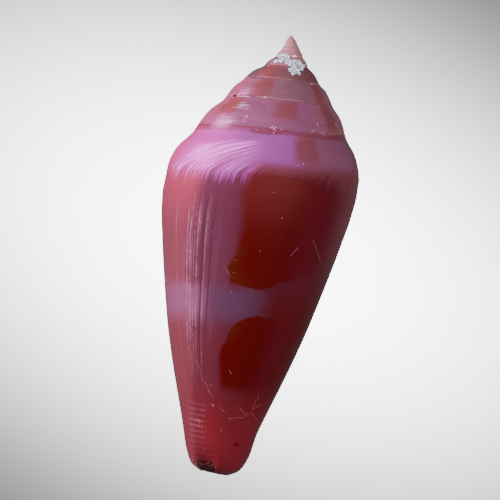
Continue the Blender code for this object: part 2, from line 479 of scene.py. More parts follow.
def bay(s):
    """How far the lip is set back here, as a share of the deepest setback."""
    return smooth(*SINUS_RISE, s) * smooth(*SINUS_FALL, s)


def lip_setback(turn, s):
    return -SINUS_TURNS * bay(s) * smooth(-SINUS_FADE, 0.0, turn)


def outer_point(turn, s):
    """The place of a point of the outer face, and its notes."""
    there = turn + lip_setback(turn, s)
    share = relief_share(there, s)
    ridge = share * ridge_height(there, s) if share else 0.0
    crest = share * cord(there, s) if s > 1.7 and share else 0.0
    high = ridge + crest**2 * CORD_HEIGHT - shoulder_cut(s) * smooth(-1.0, -0.9, there)
    spot = place(there, wall(turn, s) + outward(turn, s) * high)
    near = deepness(there, s), nearness(there, s, BROWN_PATCHES), nearness(there, s, GLINT_PATCHES)
    return spot, there, s, 0.0, ridge / MM, grown(there, s), crest, *near


def inner_wall(turn, s):
    thick = mix(WALL, LIP_WALL, smooth(-THINNING_TURNS, 0.0, turn))
    thick *= mix(1.0, FRONT_THINNING, smooth(*FRONT_THINNING_REACH, s))
    point = wall(turn, s) - outward(turn, s) * thick
    closed = smooth(CLOSING_TURNS - CANAL_TURNS, -CANAL_TURNS, turn) * smooth(*CLOSING_SHARE, s)
    return mix(point, side(turn - 1, 1.0), closed)


def inner_point(turn, pair):
    outer_s, inner_s = pair
    if outer_s == 0:
        return outer_point(turn - 1, SIDE_ROWS[0])[:3] + (1.0, *PLAIN)
    if outer_s == 2 and turn <= -CANAL_TURNS + SLOPE_STEP / FINE:
        return outer_point(turn - 1, 2.0)[:3] + (1.0, *PLAIN)
    there = turn + lip_setback(turn, outer_s)
    return place(there, inner_wall(turn, inner_s)), there, outer_s, 1.0, *PLAIN


def core_point(turn, s):
    return outer_point(turn, s)[:3] + (1.0, *PLAIN)


# %% Roll a grid up into a sheet
NOTES = ("turn", "down", "inside", "ridge", "grown", "cord", "deep", "brown", "white")


def sheet(bm, turns, rows, point):
    """A grid of turns by rows: each corner goes where point says, and keeps its notes."""
    layers = [bm.loops.layers.float[name] for name in NOTES]
    made = bmesh.ops.create_grid(bm, x_segments=len(turns) - 1, y_segments=len(rows) - 1, size=1.0)
    for vert in made["verts"]:
        column = round((vert.co.x + 1) / 2 * (len(turns) - 1))
        row = round((vert.co.y + 1) / 2 * (len(rows) - 1))
        vert.co, *notes = point(turns[column], rows[row])
        for corner in vert.link_loops:
            for layer, note in zip(layers, notes):
                corner[layer] = note


# %% The sheets of the shell
def wall_rows():
    outer = TOP_ROWS + SIDE_ROWS
    inner = [max(s, mix(CEILING, s, smooth(*CEILING_REACH, s))) for s in outer]
    return list(zip(outer, inner))


LIP_ACROSS = [0.0, 0.25, 0.5, 0.75, 1.0]
LIP_ROUNDING = 0.12 * MM


def lip_edge(across, pair):
    """Across the edge of the lip, which is rounded."""
    outer, inner = outer_point(0.0, pair[0]), inner_point(0.0, pair)
    spot = mix(outer[0], inner[0], across)
    forward = Vector((outer[0].y, -outer[0].x, 0)).normalized()
    spot += forward * LIP_ROUNDING * math.sin(math.pi * across) * smooth(0.0, 0.2, pair[0])
    return spot, 0.0, pair[0], across, *PLAIN


def canal_edge(turn, across):
    outer, inner = outer_point(turn, 2.0), inner_point(turn, wall_rows()[-1])
    return mix(outer[0], inner[0], across), turn, 2.0, across, *PLAIN


def roll_shell(bm):
    for name in NOTES:
        bm.loops.layers.float.new(name)
    sheet(bm, counted(-SPIRE_TURNS, 0.0), TOP_ROWS, outer_point)
    sheet(bm, counted(-1.0, 0.0), [1.0] + SIDE_ROWS, outer_point)
    sheet(bm, counted(-1 - CHAMBER_TURNS, -1.0), SIDE_ROWS, core_point)
    sheet(bm, counted(-CHAMBER_TURNS, 0.0), wall_rows(), inner_point)
    sheet(bm, LIP_ACROSS, wall_rows(), lip_edge)
    sheet(bm, counted(-CANAL_TURNS, 0.0), [0.0, 1.0], canal_edge)


shell_mesh = bmesh.new()
roll_shell(shell_mesh)
print("corners before welding:", len(shell_mesh.verts))

# %% [markdown]
# ## Weld, close and lay down
#
# The sheets meet corner to corner, so merging doubles joins them, and the three holes left are filled.
# Then the shell is turned from upright to the way it rests. Its tip is the tip of the solid, which gives
# its place without measuring. Where it lies, on belly and lip, the corners are pressed to the floor.

# %% Weld and close
WELD = 1e-7
TIP = Vector((-TIP_BEND, 0, TIP_RISE))


def close_ends(bm):
    bmesh.ops.remove_doubles(bm, verts=bm.verts, dist=WELD)
    open_edges = [edge for edge in bm.edges if edge.is_boundary]
    faces = bmesh.ops.holes_fill(bm, edges=open_edges, sides=0)["faces"]
    tip = max(faces, key=lambda face: face.calc_center_median().z)
    front = min(faces, key=lambda face: face.calc_center_median().z)
    turn, radius = TIP_OF_FRONT
    lowest = place(turn, Vector((radius, FRONT_TIP)))
    layers = [bm.loops.layers.float[name] for name in NOTES]
    for face, centre, s in ((tip, TIP, 0.5), (front, lowest, 2.0)):
        poked = bmesh.ops.poke(bm, faces=[face], center_mode="MEAN")
        poked["verts"][0].co = centre
        for corner in [corner for part in poked["faces"] for corner in part.loops]:
            for layer, note in zip(layers, (-SPIRE_TURNS, s, 0.0, *PLAIN)):
                corner[layer] = note


close_ends(shell_mesh)
print("open edges left:", sum(edge.is_boundary for edge in shell_mesh.edges))

# %% Lay it down where the solid lies
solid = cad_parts["shell"]
tip_of_solid = max((vert.co for vert in solid.data.vertices), key=lambda spot: spot.y).copy()
LYING = Matrix.Rotation(APEX_LIFT - math.pi / 2, 4, "X")
LAID = Matrix.Translation(tip_of_solid) @ LYING @ Matrix.Translation(-TIP)
bmesh.ops.transform(shell_mesh, matrix=LAID, verts=shell_mesh.verts)
for vert in shell_mesh.verts:
    vert.co.z = max(vert.co.z, 0.0)
print("tip of the spire, in mm:", [round(side / MM, 3) for side in tip_of_solid])


# %% Turn a bmesh into a piece of the object
def piece(name, bm, material=None):
    """A new object from a bmesh, its faces outward, riding on the shell's body."""
    bmesh.ops.recalc_face_normals(bm, faces=bm.faces)
    mesh = bpy.data.meshes.new(name)
    bm.to_mesh(mesh)
    bm.free()
    mesh.shade_smooth()
    made = bpy.data.objects.new(name, mesh)
    bpy.context.collection.objects.link(made)
    if material:
        mesh.materials.append(material)
    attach(made, "root")
    print(name, len(mesh.polygons), "faces")
    return made


shell = piece("cone_shell", shell_mesh)
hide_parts("shell")

# %% [markdown]
# ## The camera
#
# The photograph looks square onto the back of the shell, with the apex up and leaning to the right. The
# camera comes early in this lesson, because the small things on the shell are put where the photograph
# shows them: a ray from the camera finds the place on the surface.

# %% Camera square onto the shell's back
IMAGE = 500
PIXEL = 30.0 * MM / 447
LEAN = math.radians(10.43)
DISTANCE = 0.45
APEX_PIXEL = Vector((294.3, 36.9))

spire_way = Vector((0, math.cos(APEX_LIFT), math.sin(APEX_LIFT)))
across_way = Vector((1, 0, 0))
to_camera = across_way.cross(spire_way)
picture_up = math.cos(LEAN) * spire_way - math.sin(LEAN) * across_way
picture_right = math.sin(LEAN) * spire_way + math.cos(LEAN) * across_way
offset = APEX_PIXEL - Vector((IMAGE / 2, IMAGE / 2))
coil_start = LAID @ Vector((0, 0, 0))
target = coil_start - picture_right * offset.x * PIXEL + picture_up * offset.y * PIXEL

camera_data = bpy.data.cameras.new("camera")
camera_data.sensor_width = 36.0
camera_data.lens = 36.0 * DISTANCE / (IMAGE * PIXEL)
camera_data.clip_start = 0.01
camera_data.clip_end = 5.0
camera = bpy.data.objects.new("camera", camera_data)
turned = Matrix((picture_right, picture_up, to_camera)).transposed().to_4x4()
camera.matrix_world = Matrix.Translation(target + to_camera * DISTANCE) @ turned
bpy.context.collection.objects.link(camera)
bpy.context.scene.camera = camera
print("lens:", round(camera_data.lens, 1), "mm")

# %% Find a place on the shell from a place in the picture
shell_tree = BVHTree.FromPolygons(
    [vert.co for vert in shell.data.vertices],
    [face.vertices[:] for face in shell.data.polygons],
)


def on_shell(x, y):
    """The point seen at this pixel, and the direction straight out of the surface there."""
    start = target + to_camera * DISTANCE
    ahead = picture_right * (x - IMAGE / 2) * PIXEL + picture_up * (IMAGE / 2 - y) * PIXEL
    way = (ahead - to_camera * DISTANCE).normalized()
    spot, straight_out = shell_tree.ray_cast(start, way)[:2]
    return spot, straight_out


print("shell under the picture's middle, in mm:", [round(side / MM, 2) for side in on_shell(250, 250)[0]])

# %% [markdown]
# ## A short way to write materials
#
# A material's pattern is mostly arithmetic on a few numbers of the surface. Wrapping a socket in a small
# class lets that arithmetic be written as it would be on paper, and each operator adds its Math node.


# %% Arithmetic on sockets
def math_operator(operation, reflected=False):
    """An operator on wires, which adds the Math node that does it."""

    def act(wire, other):
        first, second = (other, wire) if reflected else (wire, other)
        return wire.finish.maths(operation, first, second)

    return act


class Wire:
    """One output socket of a material; arithmetic on it adds Math nodes."""

    __add__ = math_operator("ADD")
    __radd__ = math_operator("ADD", reflected=True)
    __sub__ = math_operator("SUBTRACT")
    __rsub__ = math_operator("SUBTRACT", reflected=True)
    __mul__ = math_operator("MULTIPLY")
    __rmul__ = math_operator("MULTIPLY", reflected=True)
    __truediv__ = math_operator("DIVIDE")
    __pow__ = math_operator("POWER")

    def __init__(self, finish, socket):
        self.finish = finish
        self.socket = socket

    def __abs__(self):
        return self.finish.maths("ABSOLUTE", self)


# %% One method for every other node
class Finish:
    """A material with one Principled shader, built node by node."""

    def __init__(self, name, **constants):
        self.material = bpy.data.materials.new(name)
        self.material.use_nodes = True
        self.tree = self.material.node_tree
        self.shader = self.tree.nodes["Principled BSDF"]
        for socket, value in constants.items():
            self.shader.inputs[socket.replace("_", " ")].default_value = value

    def feed(self, socket, value):
        """Links a wire to a socket, or sets the socket's value."""
        if isinstance(value, Wire):
            self.tree.links.new(value.socket, socket)
        elif isinstance(value, tuple) and len(value) == 3 and socket.type == "RGBA":
            socket.default_value = (*value, 1.0)
        else:
            socket.default_value = value

    def node(self, kind, settings, values, out=0):
        """A node of this kind: its settings first, then its sockets. out is the output wanted."""
        made = self.tree.nodes.new(kind)
        for setting, value in settings.items():
            setattr(made, setting, value)
        for socket, value in values.items():
            self.feed(made.inputs[socket], value)
        return Wire(self, made.outputs[out])

    def maths(self, operation, *values):
        return self.node("ShaderNodeMath", {"operation": operation}, dict(enumerate(values)))

    def vector_maths(self, operation, values, out="Vector"):
        return self.node("ShaderNodeVectorMath", {"operation": operation}, values, out)

    def note(self, name):
        """One of the numbers kept on the surface when it was rolled up."""
        return self.node("ShaderNodeAttribute", {"attribute_name": name}, {}, "Fac")

    def step(self, value, low, high):
        """0 below low and 1 above high, smooth between; low may be the larger."""
        settings = {"interpolation_type": "SMOOTHSTEP"}
        return self.node("ShaderNodeMapRange", settings, {"Value": value, "From Min": low, "From Max": high})

    def blend(self, share, start, end):
        """A colour between two others."""
        return self.node("ShaderNodeMix", {"data_type": "RGBA"}, {0: share, 6: start, 7: end}, 2)

    def place(self):
        return self.node("ShaderNodeTexCoord", {}, {}, "Object")

    def grain(self, where, scale, detail=2.0, roughness=0.5):
        """Noise between 0 and 1."""
        values = {"Vector": where, "Scale": scale, "Detail": detail, "Roughness": roughness}
        return self.node("ShaderNodeTexNoise", {}, values, "Fac")

    def vector(self, x, y, z):
        return self.node("ShaderNodeCombineXYZ", {}, {"X": x, "Y": y, "Z": z})


# %% [markdown]
# ## The shell's colours
#
# The ground is rose red, mauve where the ridges are and maroon to the right of them; this fall from left to
# right is partly the shell's own colour and partly painted light and shade. The top of each whorl is lilac,
# partly a painted reflection, and on the last whorl it carries a painted highlight in pale streaks along
# the growth lines. A lilac band runs round the middle, darkened to the right by painted shade. On it lie
# deep red blotches with golden edges, and brown patches on the tops. The paler colour on the ridges is a
# painted highlight. The two numbers of each step are the places, round the whorl or down it, between which
# one colour turns into the next, so each is soft, as the colours of a shell are. A painted image would fix
# them to one size.

# %% Colours, as shares of the light each reflects: red, green and blue
# From left to right these colours fall partly as the shell's own and partly as painted light and shade.
ROSE = (0.212, 0.042, 0.066)
MAUVE = (0.106, 0.024, 0.048)
MAROON = (0.084, 0.010, 0.017)
RIGHT_ROSE = (0.150, 0.032, 0.044)
SHOULDER_PINK = (0.370, 0.040, 0.088)
UNDER_LILAC = (0.155, 0.034, 0.050)
LOW_ROSE = (0.180, 0.034, 0.049)
LOW_MAUVE = (0.106, 0.017, 0.028)
LOW_MAROON = (0.086, 0.005, 0.006)
CRIMSON = (0.150, 0.0125, 0.019)
BAND = (0.240, 0.065, 0.150)
SHADED_BAND = (0.086, 0.030, 0.068)
PINK = (0.600, 0.050, 0.230)
PALE_LILAC = (0.560, 0.060, 0.380)
LILAC = (0.270, 0.058, 0.250)
# A painted highlight: the window's sheen on the last whorl's top, in streaks along the growth lines.
HIGHLIGHT_LILAC = (1.0, 0.16, 0.86)
SHADED_TOP = (0.200, 0.064, 0.120)
UPPER_PINK = (0.440, 0.072, 0.170)
DUSTY = (0.215, 0.062, 0.138)
SHADED_UPPER_TOP = (0.250, 0.084, 0.118)
ASH_ROSE = (0.168, 0.068, 0.105)
UMBER = (0.145, 0.055, 0.066)
BROWN = (0.180, 0.045, 0.055)
RUST = (0.280, 0.045, 0.055)
RUSTY = (0.150, 0.032, 0.046)
TERRACOTTA = (0.108, 0.011, 0.010)
DEEP_RED = (0.082, 0.0022, 0.0015)
DARK_MAROON = (0.086, 0.005, 0.010)
GOLD = (0.072, 0.0090, 0.0030)
GAP = (0.075, 0.017, 0.034)
ASH = (0.098, 0.031, 0.056)
SUTURE_RED = (0.160, 0.032, 0.038)
TIP_PINK = (0.40, 0.16, 0.19)
PALE = (0.40, 0.15, 0.23)
WHITE = (0.75, 0.36, 0.55)
DARK = (0.012, 0.004, 0.004)
INSIDE = (0.30, 0.15, 0.19)


# %% What every part of the pattern reads
HIDDEN_LEFT = (0.26, 0.14)  # out of sight, where the left's colours begin again


def read_surface(f):
    """The notes kept on the surface, and the grains that follow it."""
    s = SimpleNamespace(**{name: f.note(name) for name in NOTES})
    where = f.place()
    s.wobble = f.grain(where, 700.0, 3.0, 0.55) - 0.5
    s.fine = f.grain(where, 5200.0, 2.0, 0.6)
    s.around = f.maths("FRACT", s.turn + s.wobble * 0.012)

    def streaked(way, many, many_down, seed, detail=2.0, roughness=0.6):
        """Grain on the unrolled wall: so many to a turn, and so many to a step down."""
        return f.grain(f.vector(way * many, s.down * many_down, seed), 1.0, detail, roughness)

    s.thin_streak = streaked(s.grown, 420.0, 3.0, 4.0)
    s.dashes = streaked(s.grown, 700.0, 90.0, 9.0)
    s.patchy = streaked(s.grown, 330.0, 16.0, 5.0)
    s.threads = streaked(s.turn, 12.0, 26.0, 2.0)
    s.arcs = streaked(s.grown, 190.0, 1.3, 11.0, 1.0, 0.5)
    s.mottle = streaked(s.turn, 14.0, 3.5, 6.0, 3.0)
    s.last_top = f.step(s.turn, -1.0, -0.99)
    return s


# %% The ground: what lies under blotches and streaks
def side_ground(f, s):
    """The colours of the last whorl's side, from left to right and down it; rose on the left to maroon on
    the right is partly the shell's colour and partly painted light and shade.
    """
    low = f.step(s.down + s.wobble * 0.08, 1.42, 1.60)
    left = f.blend(low, ROSE, LOW_ROSE)
    colour = f.blend(f.step(s.around, 0.765, 0.715), left, f.blend(low, MAUVE, LOW_MAUVE))
    # Maroon to the right: partly the shell's colour, partly painted shade away from the window.
    colour = f.blend(f.step(s.around, 0.690, 0.600), colour, MAROON)
    colour = f.blend(f.step(s.around, 0.50, 0.40) * f.step(s.down, 1.40, 1.12), colour, RIGHT_ROSE)
    colour = f.blend(f.step(s.around, 0.60, 0.52) * f.step(s.down, 1.30, 1.50), colour, LOW_MAROON)
    colour = f.blend(f.step(s.around, *HIDDEN_LEFT), colour, left)
    colour = f.blend(f.step(s.down, 1.24, 1.00) * f.step(s.around, 0.705, 0.755), colour, SHOULDER_PINK)
    base = f.step(s.down + s.wobble * 0.05, 1.66, 1.84) * (1 - 0.65 * f.step(s.around, 0.66, 0.76))
    colour = f.blend(base, colour, CRIMSON)
    ragged = (s.thin_streak - 0.5) * 0.05 + s.wobble * 0.05
    band = f.step(s.down + ragged, 1.355, 1.405) * f.step(s.down + ragged, 1.525, 1.455)
    strength = f.step(s.around, 0.545, 0.625) * f.step(s.around, 0.88, 0.80)
    # The band lit to the left and in painted shade to the right.
    band_colour = f.blend(f.step(s.around, 0.665, 0.745), SHADED_BAND, BAND)
    return f.blend(band * strength * 0.92, colour, band_colour)


def top_ground(f, s):
    """The colours of the tops of the whorls: lilac that is partly a painted reflection, lighter on the left
    and darker on the right, partly as painted light and shade.
    """
    colour = f.blend(f.step(s.around, 0.815, 0.765), PINK, PALE_LILAC)
    colour = f.blend(f.step(s.around, 0.745, 0.660), colour, LILAC)
    # The darker right of the tops is partly painted shade.
    colour = f.blend(f.step(s.around, 0.60, 0.50), colour, SHADED_TOP)
    colour = f.blend(f.step(s.around, *HIDDEN_LEFT), colour, PINK)
    corner = f.step(s.down, 0.80, 1.02) * f.step(s.around, 0.700, 0.745)
    colour = f.blend(corner * 0.8, colour, SHOULDER_PINK)
    colour = f.blend(f.step(s.down, 0.62, 0.92) * f.step(s.around, 0.665, 0.615), colour, UNDER_LILAC)
    dusty = f.blend(f.step(s.turn, -1.9, -2.1), DUSTY, ASH_ROSE)
    upper = f.blend(f.step(s.around, 0.82, 0.70), UPPER_PINK, dusty)
    upper = f.blend(f.step(s.around, 0.56, 0.46), upper, SHADED_UPPER_TOP)
    upper = f.blend(f.step(s.around, *HIDDEN_LEFT), upper, UPPER_PINK)
    upper = f.blend(f.step(s.turn, -2.9, -3.15), upper, UMBER)
    upper = f.blend(f.step(s.mottle, 0.50, 0.72) * 0.5, upper, BROWN)
    upper = f.blend(f.step(s.mottle, 0.46, 0.28) * 0.35, upper, UPPER_PINK)
    colour = f.blend(f.step(s.turn, -0.98, -1.03), colour, upper)
    return f.blend(f.step(s.turn, -4.0, -4.7), colour, TIP_PINK)


def painted_highlight(f, s):
    """How much painted highlight, the window's sheen, lies on a place of the last whorl's top."""
    highlight_share = f.step(s.grown, -0.150, -0.200) * f.step(s.turn, -0.385, -0.335) * f.step(s.down, 0.20, 0.42)
    highlight_share = highlight_share * s.last_top * f.step(s.down, 1.10, 0.92)
    return highlight_share * (0.38 + 0.62 * f.step(s.grown, -0.285, -0.250))


def top_and_side(f, s, highlight_share):
    """Both grounds, the painted highlight in streaks with rose between them, and the streaks that carry the
    top's colours over the shoulder.
    """
    streaky = f.step(s.arcs * 0.55 + s.thin_streak * 0.45, 0.42, 0.60)
    top = f.blend(highlight_share * streaky * 0.95, top_ground(f, s), HIGHLIGHT_LILAC)
    # Rose between the streaks of painted highlight.
    shade = f.step(s.arcs * 0.8 + s.thin_streak * 0.2, 0.50, 0.40) * s.last_top * f.step(s.down, 0.55, 0.85)
    top = f.blend(shade * f.step(s.around, 0.60, 0.66) * 0.6, top, ROSE)
    far = f.step(s.around, 0.66, 0.60)
    past = f.maths("MAXIMUM", s.down - 1, 0.0)
    reach = s.down + past * 5.0 + s.wobble * 0.12 - (s.arcs - 0.5) * 0.55 - (s.thin_streak - 0.5) * 0.25
    share = f.step(reach, 0.84, 1.24) * (1 - far) + f.step(reach, 0.72, 1.30) * far
    return f.blend(share * s.last_top, top, side_ground(f, s))


# %% Layers over the ground, each laid on the colour before it
def brown_patches(f, s, colour):
    patch = f.step(s.brown + s.wobble * 0.6 + (s.mottle - 0.5) * 0.7, -0.30, 0.50)
    tint = f.blend(f.step(s.around, 0.68, 0.74) * f.step(s.turn, -1.0, -1.1), BROWN, RUST)
    return f.blend(patch * 0.88, colour, tint)


def deep_blotches(f, s, colour):
    """The deep red blotches, softer above and to the right, with gold on the left edge between them."""
    softness = 0.14 + 0.70 * f.step(s.down, 1.34, 1.18) + 0.5 * f.step(s.down, 1.54, 1.66)
    softness = softness + 1.0 * f.step(s.around, 0.55, 0.47) + 0.7 * f.step(s.down, 1.08, 0.92)
    edge = (s.deep + s.wobble * 0.5 + (s.thin_streak - 0.5) * 0.12) / softness
    tint = f.blend(f.step(s.down, 1.26, 1.00), DEEP_RED, TERRACOTTA)
    tint = f.blend(f.step(s.down, 1.02, 0.84), tint, RUSTY)
    tint = f.blend(f.step(s.around, 0.57, 0.50), tint, DARK_MAROON)
    rim = f.step(s.deep + s.wobble * 1.2, 1.2, 0.3) * f.step(s.around, 0.595, 0.640)
    rim = rim * f.step(s.down, 1.20, 1.28) * f.step(s.down, 1.58, 1.51)
    return f.blend(f.step(edge, -0.2, 1.0), colour, f.blend(rim * 0.85, tint, GOLD))


def streaks(f, s, colour):
    """The pale dashes along the growth ridges, a painted highlight on their crests, and the broad pale line
    to their right.
    """
    height = f.step(s.down, 1.04, 1.19) * f.step(s.down, 1.80, 1.45)
    gap = f.step(abs(s.grown + 0.3075), 0.0028, 0.0012) + f.step(abs(s.grown + 0.290), 0.0030, 0.0012)
    colour = f.blend(gap * height * 0.75, colour, GAP)
    broad = f.step(abs(s.grown + 0.3190), 0.0066, 0.0042)
    broad = broad * f.step(s.down, 1.10, 1.24) * f.step(s.down, 1.62, 1.46)
    colour = f.blend(broad * (0.25 + 0.75 * f.step(s.patchy, 0.3, 0.6)), colour, ASH)
    # Painted highlight on the crests of the ridges.
    ridge_highlight = f.step(s.ridge, 0.002, 0.016) * f.step(s.dashes * 0.6 + s.patchy * 0.4, 0.40, 0.60)
    return f.blend(ridge_highlight * height * f.step(s.grown, -0.304, -0.296) * 0.85, colour, PALE)


def cord_highlights(f, s, colour):
    """Painted highlights: pale dashes on the crests of the cords, two rows of them bright."""
    dash = f.step(s.cord, 0.45, 0.85) * f.step(s.dashes, 0.42, 0.54) * f.step(s.patchy, 0.40, 0.56)
    dash = dash * f.step(s.around, 0.675, 0.700) * f.step(s.around, 0.785, 0.750)
    bright_rows = 0.32 + 0.5 * f.step(abs(s.down - 1.846), 0.022, 0.014)
    return f.blend(dash * f.step(s.down, 1.95, 1.85) * bright_rows, colour, PALE)


def seams(f, s, colour):
    """The dark line along each suture, and a painted highlight: the pale edge above it on the upper whorls.
    """
    width = 0.04 + 0.08 * s.last_top + s.wobble * 0.12 + (s.mottle - 0.5) * 0.10 * s.last_top
    seam = f.step(s.down, width, width * 0.5) * f.step(s.turn, -3.6, -3.2) * (0.45 + 0.5 * s.last_top)
    above = f.step(s.down + s.wobble * 0.05, 0.93, 0.98) * f.step(s.turn, -0.999, -1.001)
    seam = seam + above * f.step(s.turn, -1.9, -1.7)
    colour = f.blend(seam * (0.55 + 0.35 * f.step(s.mottle, 0.4, 0.6)), colour, SUTURE_RED)
    # Painted highlight along the edge above the suture.
    pale = f.step(s.down, 0.90, 0.93) * f.step(s.down, 0.985, 0.965)
    pale = pale * f.step(s.turn, -1.9, -2.0) * f.step(s.turn, -4.2, -3.8)
    pale = pale * f.step(s.threads, 0.40, 0.60) * f.step(s.around, 0.50, 0.62)
    return f.blend(pale * 0.8, colour, TIP_PINK)


STAIN = ((-0.469, 0.015), (1.893, 0.0055))  # in turns and in the way down: middle, half-width
# The pit's dark is painted shade in a shadowed break of the suture.
SHADED_PIT = ((-2.222, 0.009), (0.965, 0.05))


def oval(s, place):
    """0 in the middle of a small oval and 1 on its edge."""
    (turn, half), (down, reach) = place
    return ((s.turn - turn) / half) ** 2.0 + ((s.down - down) / reach) ** 2.0


def marks(f, s, colour):
    """A stain, whitish patches of painted highlight, the painted shade of a pit, and the wear and the scar
    round the notch.
    """
    colour = f.blend(f.step(oval(s, STAIN) + s.wobble, 1.2, 0.7) * 0.9, colour, DEEP_RED)
    # Painted highlight, flecked.
    whitish_glint = s.white + s.wobble * 0.8 + (s.threads - 0.5) * 3.6 + (s.fine - 0.5) * 0.8
    colour = f.blend(f.step(whitish_glint, 0.45, 1.05) * 0.6, colour, WHITE)
    # Painted shade in the pit.
    colour = f.blend(f.step(oval(s, SHADED_PIT), 1.2, 0.6), colour, DARK)
    worn = f.step(s.down, 1.95, 1.985) * f.step(abs(s.turn + 0.195), 0.055, 0.03)
    colour = f.blend(worn * f.step(s.fine + s.wobble, 0.35, 0.6) * 0.6, colour, PALE)
    scar = f.step(s.down + s.wobble * 0.03, 1.950, 1.958) * f.step(s.down, 1.990, 1.975)
    scar = scar * f.step(abs(s.turn + 0.275 + s.wobble * 0.05), 0.055, 0.025)
    return f.blend(scar * f.step(s.threads, 0.42, 0.58) * 0.8, colour, MAROON)


# %% The shell's finish
BUMP_HEIGHT = 0.02 * MM
GLAZE_TINT = (1.0, 0.62, 0.95, 1.0)


def fine_relief(f, s, highlight_share):
    """The finest growth lines, too small for the mesh."""
    grooves = s.thin_streak * (0.4 + highlight_share * 1.6) + s.dashes * 0.35 + s.fine * 0.25
    grooves = grooves + s.threads * f.step(s.turn, -0.98, -1.02) * 1.5
    return f.node("ShaderNodeBump", {}, {"Strength": 0.35, "Distance": BUMP_HEIGHT, "Height": grooves})


def shell_finish():
    f = Finish("cone_shell", Roughness=0.25, IOR=1.4, Specular_IOR_Level=0.30, Specular_Tint=GLAZE_TINT)
    s = read_surface(f)
    highlight_share = painted_highlight(f, s)
    colour = top_and_side(f, s, highlight_share)
    for layer in (brown_patches, deep_blotches, streaks, cord_highlights, seams, marks):
        colour = layer(f, s, colour)
    tone = 0.84 + 0.2 * s.thin_streak + 0.12 * s.fine
    colour = f.vector_maths("SCALE", {0: colour, "Scale": tone})
    f.feed(f.shader.inputs["Base Color"], f.blend(s.inside, colour, INSIDE))
    f.feed(f.shader.inputs["Normal"], fine_relief(f, s, highlight_share))
    return f.material


shell.data.materials.append(shell_finish())

# %% [markdown]
# ## What lies on the shell
#
# A crust of lime sits round the tip, specks of sand have dried on along the sutures, and near the front
# end cling a few threads of lint. They could be painted, but each has a thickness that catches light.
# Lumps are small rough balls pressed onto the surface, and threads are thin rods laid end to end.

# %% Lumps and threads
LUMPINESS = 0.9
THREAD_SIDES = 6
THREAD_RAISED = 0.6  # how far a thread's middle lies above the surface, in radii
THREAD_OVERLAP = 1.15
random.seed(20)


def lump(bm, x, y, radius, flatness):
    """A small rough ball pressed onto the surface seen at a pixel; its radius is in pixels."""
    spot, straight_out = on_shell(x, y)
    made = bmesh.ops.create_icosphere(bm, subdivisions=2, radius=radius * PIXEL)["verts"]
    seed = Vector((x, y, radius))
    for vert in made:
        vert.co *= 1 + LUMPINESS * noise.noise(vert.co.normalized() * 1.5 + seed)
        vert.co.z *= flatness
    laid = straight_out.to_track_quat("Z", "Y").to_matrix().to_4x4()
    bmesh.ops.transform(bm, verts=made, matrix=Matrix.Translation(spot) @ laid)


def thread(bm, places, radius):
    """A thin rod laid over the surface through places in the picture; its radius is in pixels."""
    path = []
    for (x0, y0), (x1, y1) in zip(places, places[1:]):
        steps = max(1, round(math.dist((x0, y0), (x1, y1))))
        path += [(mix(x0, x1, i / steps), mix(y0, y1, i / steps)) for i in range(steps)]
    spots = []
    for x, y in path + [places[-1]]:
        spot, straight_out = on_shell(x, y)
        spots.append(spot + straight_out * radius * PIXEL * THREAD_RAISED)
    for start, end in zip(spots, spots[1:]):
        run = end - start
        laid = Matrix.Translation((start + end) / 2) @ run.to_track_quat("Z", "Y").to_matrix().to_4x4()
        size = radius * PIXEL
        long = run.length * THREAD_OVERLAP
        bmesh.ops.create_cone(
            bm, cap_ends=True, segments=THREAD_SIDES, radius1=size, radius2=size, depth=long, matrix=laid
        )


# %% A finish that wanders between two colours
def mottled(name, dark, light, grain, edges, **constants):
    f = Finish(name, **constants)
    share = f.step(f.grain(f.place(), *grain), *edges)
    f.feed(f.shader.inputs["Base Color"], f.blend(share, dark, light))
    return f.material


# %% Crust of lime: clusters in the picture, as middle and reach in pixels
CRUST = (
    (279.0, 55.6, 2.6, 1.4),
    (284.5, 55.4, 3.4, 1.4),
    (277.0, 61.0, 2.4, 1.8),
    (281.0, 60.0, 3.0, 2.2),
    (287.5, 57.4, 2.0, 1.8),
    (294.2, 56.0, 1.7, 1.5),
    (288.0, 61.4, 3.0, 2.4),
    (293.0, 61.8, 3.0, 2.0),
    (298.5, 61.6, 3.0, 1.4),
    (301.5, 65.0, 3.2, 2.6),
    (296.5, 65.6, 3.6, 2.6),
    (291.5, 66.0, 2.6, 2.4),
    (296.5, 70.4, 3.4, 2.4),
    (291.0, 70.4, 2.4, 1.8),
    (301.8, 69.2, 2.6, 1.6),
    (294.0, 74.0, 2.6, 1.4),
    (299.0, 73.4, 1.8, 1.4),
)
LUMPS_TO_A_PIXEL = 3.0
LUMP_RADII = (0.5, 1.2)
LUMP_FLATNESS = (0.5, 1.1)
LIME_SHADE = (0.20, 0.20, 0.33)
LIME_WHITE = (0.84, 0.89, 1.0)
crust_mesh = bmesh.new()
for middle_x, middle_y, reach_x, reach_y in CRUST:
    for _ in range(round(reach_x * reach_y * LUMPS_TO_A_PIXEL)):
        angle, share = random.uniform(0, math.tau), math.sqrt(random.random())
        x = middle_x + reach_x * share * math.cos(angle)
        y = middle_y + reach_y * share * math.sin(angle)
        lump(crust_mesh, x, y, random.uniform(*LUMP_RADII), random.uniform(*LUMP_FLATNESS))
lime_grain = (9000.0, 2.0, 0.6)
lime = mottled(
    "lime_crust", LIME_SHADE, LIME_WHITE, lime_grain, (0.36, 0.56), Roughness=0.85, Specular_IOR_Level=0.2
)
piece("lime_crust", crust_mesh, lime)

